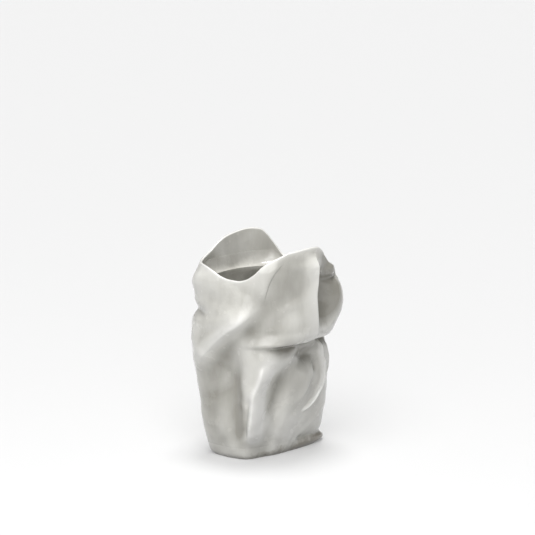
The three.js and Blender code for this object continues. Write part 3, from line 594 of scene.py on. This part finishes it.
def slab(name, low, high, bottom, top, across, up, on_rim=False, lapped=None, lap=None):
    """A closed slab of clay: outside, lip where it reaches the rim, inside, and its cut edges."""
    def outside_wall(bearing, height):
        return outer_wall(bearing, height, lap)

    bearing, height = spread(low, high, bottom, top, across, up)
    outer, inner = outside_wall(bearing, height), inner_wall(bearing, height)
    layers = [on_wall(outer, bearing, height)]
    tone_with_painted_light = [glaze_and_painted_light(bearing, height, lap)]
    if on_rim:
        # Painted highlight along the rim, partly glaze running thin off the lip.
        tone_with_painted_light[0] += LIP_PAINTED_HIGHLIGHT * np.exp((height - lip_height(bearing)) / LIP_HIGHLIGHT_FALLOFF)
        angles = np.pi * np.arange(1, LIP_STEPS + 1) / (LIP_STEPS + 1)
        half, middle = (outer - inner)[:, -1:] / 2, (outer + inner)[:, -1:] / 2
        lip_bearing = np.repeat(bearing[:, -1:], LIP_STEPS, 1)
        lip_rise = height[:, -1:] + LIP_ROUND * np.sin(angles)
        layers.append(on_wall(middle + half * np.cos(angles), lip_bearing, lip_rise))
        tone_with_painted_light.append(np.full(lip_bearing.shape, LIP_PAINTED_HIGHLIGHT))
    layers.append(on_wall(inner, bearing, height)[:, ::-1])
    # Painted shade on the inside, and a painted highlight patch on the inside of the crest.
    tone_with_painted_light.append(INSIDE_PAINTED_SHADE + press_depth(PAINTED_INSIDE_HIGHLIGHT, bearing, height))
    loops, tone_with_painted_light = np.concatenate(layers, 1), np.concatenate(tone_with_painted_light, 1)
    columns, count = loops.shape[:2]
    rows = len(up)

    i, k = np.meshgrid(np.arange(columns - 1) * count, np.arange(count), indexing="ij")
    following = (k + 1) % count
    sides = np.stack([i + k, i + following, i + count + following, i + count + k], -1).reshape(-1, 4)
    k = np.arange(count // 2 - 1)
    low_cut = np.stack([k, count - 1 - k, count - 2 - k, k + 1], -1)
    high_cut = (columns - 1) * count + low_cut[:, ::-1]
    faces = np.vstack([sides, low_cut, high_cut])

    facing = np.zeros((columns, count, 3))
    outside, inside = facing[:, :rows], facing[:, count - rows:][:, ::-1]
    edges = {"low": np.s_[0, :], "high": np.s_[-1, :], "bottom": np.s_[:, 0], "top": np.s_[:, -1]}
    for edge, where in edges.items():
        if edge == lapped or (edge == "top" and on_rim):
            continue
        outside[where] = outward(outside_wall, bearing[where], height[where])
        inside[where] = -outward(inner_wall, bearing[where], height[where])
    part_of_wall = np.zeros(len(faces), bool)
    step = np.tile(np.arange(count), columns - 1)
    part_of_wall[:len(sides)] = (step < rows - 1) | ((step >= count - rows) & (step < count - 1))
    normals = (facing.reshape(-1, 3)[faces] * part_of_wall[:, None, None]).reshape(-1, 3)
    return clay_object(name + "_glazed", loops.reshape(-1, 3), faces.tolist(), body_glaze, tone_with_painted_light, normals)


left_wing_front = up_seam(LEFT_WING_FRONT)
right_wing_front = up_seam(RIGHT_WING_FRONT)
neck = seam(LEFT_NECK, RIGHT_NECK)
breast_foot = foot_seam(LEFT_WING_TOE, RIGHT_WING_TOE)
breast_wall = slab(
    "breast_wall", left_wing_front, right_wing_front, breast_foot, neck,
    steps_along(neck), steps_along(left_wing_front),
)
finish_piece(breast_wall, "breast_wall")


# Right wing: the big slab of clay under the shoulder ridge, pressed into a deep hollow by hand. Its front
# edge is pinched together with the breast into the bright near ridge.
RIGHT_WING_NECK = [(48, 1.46), (49.5, 1.25), (50, 1.03)]


def back_seam(bearing, start, end):
    """A seam straight up the back, from one height to another."""
    return straight_seam((bearing, start), (bearing, end))


right_wing_back = back_seam(BACK_SEAM_RIGHT, BASE_THICKNESS, level(RIDGE_END_LEVEL))
right_wing_edge = up_seam(RIGHT_WING_NECK, RIGHT_WING_FRONT)
right_ridge = seam(RIGHT_RIDGE)
right_wing = slab(
    "right_wing", right_wing_edge, right_wing_back, foot_seam(RIGHT_WING_TOE, BACK_SEAM_RIGHT), right_ridge,
    steps_along(right_ridge), steps_along(right_wing_edge),
)
finish_piece(right_wing, "right_wing")


# Left wing: the slab of clay on the far side, wrapped forward under the belly. Its thick front edge is
# folded over the breast and stands proud, so it shows as a crisp raised line.
LEFT_WING_NECK = [(-52, 1.34), (-47, 1.17), (-38, 1)]


def lapped_edge(path, push, reach, edge_radius, fade):
    """How far a slab's edge rises above the one that it laps over, as a function of the place.

    The push is greatest by the path, sinks back over the reach, and fades towards the path's ends.
    """
    def rise(bearing, height):
        distance, _, along = near_path(path, bearing, height)
        edge = np.sqrt(1 - (1 - np.minimum(distance / edge_radius, 1)) ** 2)
        return push * np.exp(-distance / reach) * edge * fade_out(along, fade)

    return rise


left_wing_back = back_seam(BACK_SEAM_LEFT, BASE_THICKNESS, level(RIDGE_END_LEVEL))
left_wing_edge = up_seam(LEFT_WING_NECK, LEFT_WING_FRONT)
left_ridge = up_seam(LEFT_RIDGE)
left_wing_foot = foot_seam(BACK_SEAM_LEFT, LEFT_WING_TOE)
left_wing = slab(
    "left_wing", left_wing_back, left_wing_edge, left_wing_foot, left_ridge,
    steps_along(left_wing_foot, fine_end=True), steps_along(left_wing_edge),
    lapped="high", lap=lapped_edge(WING_LIP, push=2.5, reach=9, edge_radius=1.6, fade=0.2),
)
finish_piece(left_wing, "left_wing")


# Back wall: the plain slab of clay that closes the body behind, luted to both wings and to the base. It is
# pressed in a little on one side of a soft upright fold.
CREST_LEVEL = 1.32
crest_foot = level(CREST_LEVEL)
crest_seam = straight_seam((BACK_SEAM_RIGHT, crest_foot), (BACK_SEAM_LEFT + 360, crest_foot))
back_wall_edge = back_seam(BACK_SEAM_RIGHT, BASE_THICKNESS, crest_foot)
back_wall = slab(
    "back_wall", back_wall_edge, back_seam(BACK_SEAM_LEFT + 360, BASE_THICKNESS, crest_foot),
    foot_seam(BACK_SEAM_RIGHT, BACK_SEAM_LEFT + 360), crest_seam,
    steps_along(crest_seam), steps_along(back_wall_edge),
)
finish_piece(back_wall, "back_wall")


# Right shoulder: the smooth collar slab between the face and the back, rising to the low side of the mouth.
# Its front edge laps over the face, and its lower edge is pinched with the wing into the shoulder ridge.
RIGHT_CREASE_TOP = 26
RIGHT_CREASE = [(29, 1.89), (34, 1.83), (39, 1.76), (44, 1.64), (47, 1.52), (48, 1.46)]


def rim_seam(start, end):
    bearings = np.linspace(start, end, SEAM_POINTS)
    return np.stack([bearings * ARC, lip_height(bearings)], -1)


def seam_to_rim(path, top_bearing):
    """A path taken from its lower end up to the rim."""
    places = [(bearing * ARC, level(share)) for bearing, share in reversed(path)]
    places.append((top_bearing * ARC, lip_height(top_bearing)))
    return even(smooth_line(np.array(places, float), SEAM_STEPS))


right_crease = seam_to_rim(RIGHT_CREASE, RIGHT_CREASE_TOP)
right_shoulder_rim = rim_seam(RIGHT_CREASE_TOP, BACK_SEAM_RIGHT)
right_shoulder = slab(
    "right_shoulder", right_crease,
    back_seam(BACK_SEAM_RIGHT, level(RIDGE_END_LEVEL), lip_height(BACK_SEAM_RIGHT)),
    right_ridge, right_shoulder_rim,
    steps_along(right_shoulder_rim, fine_start=True), steps_along(right_crease, pitch=PITCH / 2),
    on_rim=True, lapped="low",
    lap=lapped_edge(RIGHT_CREASE, push=2.2, reach=10, edge_radius=5, fade=0.25),
)
finish_piece(right_shoulder, "right_shoulder")


# Left shoulder: the collar slab of the far side, of the same clay. It is joined as the right one is, lapped
# over the face in front and pinched to the wing below.
LEFT_CREASE_TOP = -34
LEFT_CREASE = [(-36, 1.74), (-42, 1.64), (-47, 1.54), (-51, 1.44), (-52, 1.34)]
left_crease = seam_to_rim(LEFT_CREASE, LEFT_CREASE_TOP)
left_shoulder_rim = rim_seam(BACK_SEAM_LEFT, LEFT_CREASE_TOP)
left_shoulder = slab(
    "left_shoulder", back_seam(BACK_SEAM_LEFT, level(RIDGE_END_LEVEL), lip_height(BACK_SEAM_LEFT)),
    left_crease, left_ridge, left_shoulder_rim,
    steps_along(left_shoulder_rim, fine_end=True), steps_along(left_crease, pitch=PITCH / 2),
    on_rim=True, lapped="high",
    lap=lapped_edge(LEFT_CREASE, push=2, reach=9, edge_radius=3, fade=0.2),
)
finish_piece(left_shoulder, "left_shoulder")


# Right face: the broad lit half of the owl's face, a slab bent up from the neck to the brow. It meets the
# other half in the sharp fold of the beak.
BEAK_TOP = -3.5
beak_seam = seam_to_rim(BEAK_SEAM, BEAK_TOP)


def joined(first, second):
    return even(np.vstack([first, second[1:]]))


right_face_edge = joined(up_seam(RIGHT_WING_NECK), right_crease)
right_neck = seam(RIGHT_NECK)
right_face = slab(
    "right_face", beak_seam, right_face_edge, right_neck, rim_seam(BEAK_TOP, RIGHT_CREASE_TOP),
    steps_along(right_neck, pitch=PITCH / 2), steps_along(beak_seam), on_rim=True,
)
finish_piece(right_face, "right_face")


# Left face: the slab of the far half of the face, pushed in by hand beside the beak to a deep eye hollow,
# with the brow and the cheek standing out beyond it as two rounded lobes.
left_face_edge = joined(up_seam(LEFT_WING_NECK), left_crease)
left_neck = seam(LEFT_NECK)
left_face = slab(
    "left_face", left_face_edge, beak_seam, left_neck, rim_seam(LEFT_CREASE_TOP, BEAK_TOP),
    steps_along(left_neck, pitch=PITCH / 2), steps_along(beak_seam), on_rim=True,
)
finish_piece(left_face, "left_face")


# Back crest: the tall flared slab behind the mouth, whose thin rim rises to a flat peak. It stands on the
# back wall and curls forward into both shoulders.
crest_rim = rim_seam(BACK_SEAM_RIGHT, BACK_SEAM_LEFT + 360)
crest_edge = back_seam(BACK_SEAM_RIGHT, crest_foot, lip_height(BACK_SEAM_RIGHT))
back_crest = slab(
    "back_crest", crest_edge, back_seam(BACK_SEAM_LEFT + 360, crest_foot, lip_height(BACK_SEAM_LEFT)),
    crest_seam, crest_rim, steps_along(crest_rim), steps_along(crest_edge), on_rim=True,
)
finish_piece(back_crest, "back_crest")


# Throat ring: a ring of clay smoothed into the inside of the mouth. Its top sweeps from the oval opening up
# to the walls, following their shallow dents and bridging deep ones, and its edge is the rim of the dark
# hole that the stems go down.
THROAT_DROP = 5
THROAT_WIDTH = 116
THROAT_DEPTH = 92
THROAT_SHIFT = 4
THROAT_EDGE = 5
THROAT_SEAT = 14
THROAT_FLARE = 14
THROAT_LEDGE = 3
# The throat ring is painted darker as shade down in the throat.
THROAT_PAINTED_SHADE = -3.2
FLARE_BELOW_LIP = 0.7
FOLLOWED_DENT = 3
FEATHER = 0.3
THROAT_COLUMNS = 300
FLARE_STEPS = 12
SEAT_STEPS = 8
# Its darkest colour is painted shade in the throat.
throat_glaze = glaze(
    "throat_glaze", thin_and_highlit=(0.7, 0.685, 0.64), clean=(0.64, 0.633, 0.595), pooled_and_shaded=(0.33, 0.315, 0.275),
    sheen=(0.2, 0.34),
)


def throat_radius(bearing):
    """Radius of the oval opening, which is set off a little towards the owl's right."""
    across = np.sin(np.radians(bearing)) / (THROAT_WIDTH / 2)
    ahead = np.cos(np.radians(bearing)) / (THROAT_DEPTH / 2)
    shift = THROAT_SHIFT / (THROAT_WIDTH / 2)
    square = across**2 + ahead**2
    return (across * shift + np.sqrt((across * shift) ** 2 + square * (1 - shift**2))) / square


throat_bearing = np.linspace(0, 360, THROAT_COLUMNS, endpoint=False)
throat_top = MOUTH_HEIGHT - THROAT_DROP
room_below_lip = FLARE_BELOW_LIP * (lip_height(throat_bearing) - throat_top)
flare_top = throat_top + np.minimum(THROAT_FLARE, room_below_lip)


def inside_wall(height):
    return inner_wall(throat_bearing, np.broadcast_to(height, throat_bearing.shape))


def round_loops(loops):
    """Faces that join closed loops of points all the way round the vase."""
    columns, count = loops.shape[:2]
    faces = []
    for i in range(columns):
        start, after = i * count, (i + 1) % columns * count
        for k in range(count):
            following = (k + 1) % count
            faces.append((after + k, after + following, start + following, start + k))
    return faces


opening = np.minimum(throat_radius(throat_bearing), inside_wall(throat_top) - THROAT_LEDGE)
section = []
for share in np.linspace(0, 1, SEAT_STEPS):
    seat_height = flare_top + share * (throat_top - THROAT_SEAT - flare_top)
    section.append((inside_wall(seat_height), seat_height))
section.append((opening + THROAT_EDGE / 4, np.full_like(opening, throat_top - THROAT_EDGE)))
section.append((opening, np.full_like(opening, throat_top - THROAT_EDGE / 2)))
flare_heights = [throat_top + share * (flare_top - throat_top) for share in np.linspace(0, 1, FLARE_STEPS)]
deepest = np.min([inside_wall(height) for height in flare_heights], axis=0)
flare_end = np.minimum(inside_wall(flare_top), deepest + FOLLOWED_DENT) - FEATHER
for angle in np.linspace(0, math.pi / 2, FLARE_STEPS):
    flare_height = flare_top + (throat_top - flare_top) * math.cos(angle)
    flare_radius = opening + (flare_end - opening) * math.sin(angle)
    section.append((np.minimum(flare_radius, inside_wall(flare_height) - FEATHER), flare_height))
throat_loops = np.stack([on_wall(radius, throat_bearing, height) for radius, height in section], 1)
# Painted shade over the whole ring, fading up the flare into the inside's painted shade.
throat_tone_with_painted_light = np.full(throat_loops.shape[:2], THROAT_PAINTED_SHADE)
throat_tone_with_painted_light[:, -FLARE_STEPS:] = np.linspace(THROAT_PAINTED_SHADE, INSIDE_PAINTED_SHADE, FLARE_STEPS)
throat_ring = clay_object(
    "throat_ring_glazed", throat_loops.reshape(-1, 3), round_loops(throat_loops), throat_glaze,
    throat_tone_with_painted_light,
)
finish_piece(throat_ring, "throat_ring")


# Floor: a plain white sweep of paper that the vase stands on, so wide that the camera sees nothing else.
# It looks whiter to the camera than the light that it throws back up at the vase.
FLOOR_REACH = 14
PAPER_BOUNCE = (0.4, 0.4, 0.4)
PAPER_LIT = (0.475, 0.475, 0.475)
PAPER_GLOW = 0.245
floor_mesh = bpy.data.meshes.new("floor")
floor_corners = [(-FLOOR_REACH, -FLOOR_REACH, 0), (FLOOR_REACH, -FLOOR_REACH, 0),
                 (FLOOR_REACH, FLOOR_REACH, 0), (-FLOOR_REACH, FLOOR_REACH, 0)]
floor_mesh.from_pydata(floor_corners, [], [(0, 1, 2, 3)])
paper = bpy.data.materials.new("white_paper")
paper.use_nodes = True
paper_nodes, paper_links = paper.node_tree.nodes, paper.node_tree.links
paper_nodes.remove(paper_nodes["Principled BSDF"])
dull = paper_nodes.new("ShaderNodeBsdfDiffuse")
dull.inputs["Color"].default_value = (*PAPER_BOUNCE, 1)
lit = paper_nodes.new("ShaderNodeBsdfDiffuse")
lit.inputs["Color"].default_value = (*PAPER_LIT, 1)
glow = paper_nodes.new("ShaderNodeEmission")
glow.inputs["Strength"].default_value = PAPER_GLOW
white = paper_nodes.new("ShaderNodeAddShader")
paper_links.new(lit.outputs["BSDF"], white.inputs[0])
paper_links.new(glow.outputs["Emission"], white.inputs[1])
ray = paper_nodes.new("ShaderNodeLightPath")
seen = ray.outputs["Is Camera Ray"]
for kind in ("Is Glossy Ray", "Is Transmission Ray"):
    either = paper_nodes.new("ShaderNodeMath")
    either.operation = "MAXIMUM"
    paper_links.new(seen, either.inputs[0])
    paper_links.new(ray.outputs[kind], either.inputs[1])
    seen = either.outputs["Value"]
surface = paper_nodes.new("ShaderNodeMixShader")
paper_links.new(seen, surface.inputs["Fac"])
paper_links.new(dull.outputs["BSDF"], surface.inputs[1])
paper_links.new(white.outputs["Shader"], surface.inputs[2])
paper_links.new(surface.outputs["Shader"], paper_nodes["Material Output"].inputs["Surface"])
floor_mesh.materials.append(paper)
floor = bpy.data.objects.new("floor", floor_mesh)
bpy.context.scene.collection.objects.link(floor)


# Camera: a long lens a little above the vase, towards the owl's right front, as in the photograph. The
# middle of the foot falls at the given pixel of the frame.
FRAME_PIXELS = 535
CAMERA_BEARING = 47
CAMERA_PITCH = 12
CAMERA_DISTANCE = 3.038
FOCAL_PIXELS = 3000
FOOT_PIXEL = (265.5, 447.5)
SENSOR = 36
toward = Vector((-math.sin(math.radians(CAMERA_BEARING)), -math.cos(math.radians(CAMERA_BEARING)), 0))
pitch = math.radians(CAMERA_PITCH)
ahead = -toward * math.cos(pitch) - Vector((0, 0, math.sin(pitch)))
rightward = ahead.cross(Vector((0, 0, 1))).normalized()
upward = rightward.cross(ahead)
pixel_size = CAMERA_DISTANCE / FOCAL_PIXELS
foot_right = (FOOT_PIXEL[0] - FRAME_PIXELS / 2) * pixel_size
foot_up = (FRAME_PIXELS / 2 - FOOT_PIXEL[1]) * pixel_size
camera_data = bpy.data.cameras.new("camera")
camera_data.sensor_width = SENSOR
camera_data.lens = SENSOR * FOCAL_PIXELS / FRAME_PIXELS
camera = bpy.data.objects.new("camera", camera_data)
bpy.context.scene.collection.objects.link(camera)
camera.matrix_world = Matrix((rightward, upward, -ahead)).transposed().to_4x4()
camera.location = -ahead * CAMERA_DISTANCE - rightward * foot_right - upward * foot_up
bpy.context.scene.camera = camera


# Studio light: a wide, distant key light high on the camera's side, a narrower one almost straight overhead
# that throws the shadow, a soft box in front whose reflection lies on the glaze, and a dim white room.
KEY_FROM = Vector((0, 0, 0.9)) + toward * 0.5 - rightward * 0.12
KEY_STRENGTH = 1.85
KEY_WIDTH = 50
TOP_FROM = Vector((0, 0, 1)) - toward * 0.13 + rightward * 0.03
TOP_STRENGTH = 2.2
TOP_WIDTH = 22
BOX_FROM = toward * 1.1 - rightward * 0.15 + Vector((0, 0, 0.75))
BOX_AIM = Vector((0, 0, 0.1))
BOX_SIDE = 1
BOX_POWER = 7
ROOM_STRENGTH = 0.17
bpy.context.scene.view_settings.view_transform = "Standard"


def hang(light, direction):
    """A light that shines from the given direction."""
    lamp = bpy.data.objects.new(light.name, light)
    lamp.rotation_mode = "QUATERNION"
    lamp.rotation_quaternion = (-direction).to_track_quat("-Z", "Y")
    bpy.context.scene.collection.objects.link(lamp)
    return lamp


def distant_light(name, direction, strength, width):
    light = bpy.data.lights.new(name, "SUN")
    light.energy = strength
    light.angle = math.radians(width)
    hang(light, direction)


distant_light("key", KEY_FROM, KEY_STRENGTH, KEY_WIDTH)
distant_light("top", TOP_FROM, TOP_STRENGTH, TOP_WIDTH)

box_light = bpy.data.lights.new("front_softbox", "AREA")
box_light.shape = "RECTANGLE"
box_light.size = BOX_SIDE
box_light.size_y = BOX_SIDE
box_light.energy = BOX_POWER
hang(box_light, BOX_FROM - BOX_AIM).location = BOX_FROM

room = bpy.data.worlds.new("white_room")
bpy.context.scene.world = room
room.use_nodes = True
room.node_tree.nodes["Background"].inputs["Color"].default_value = (1, 1, 1, 1)
room.node_tree.nodes["Background"].inputs["Strength"].default_value = ROOM_STRENGTH
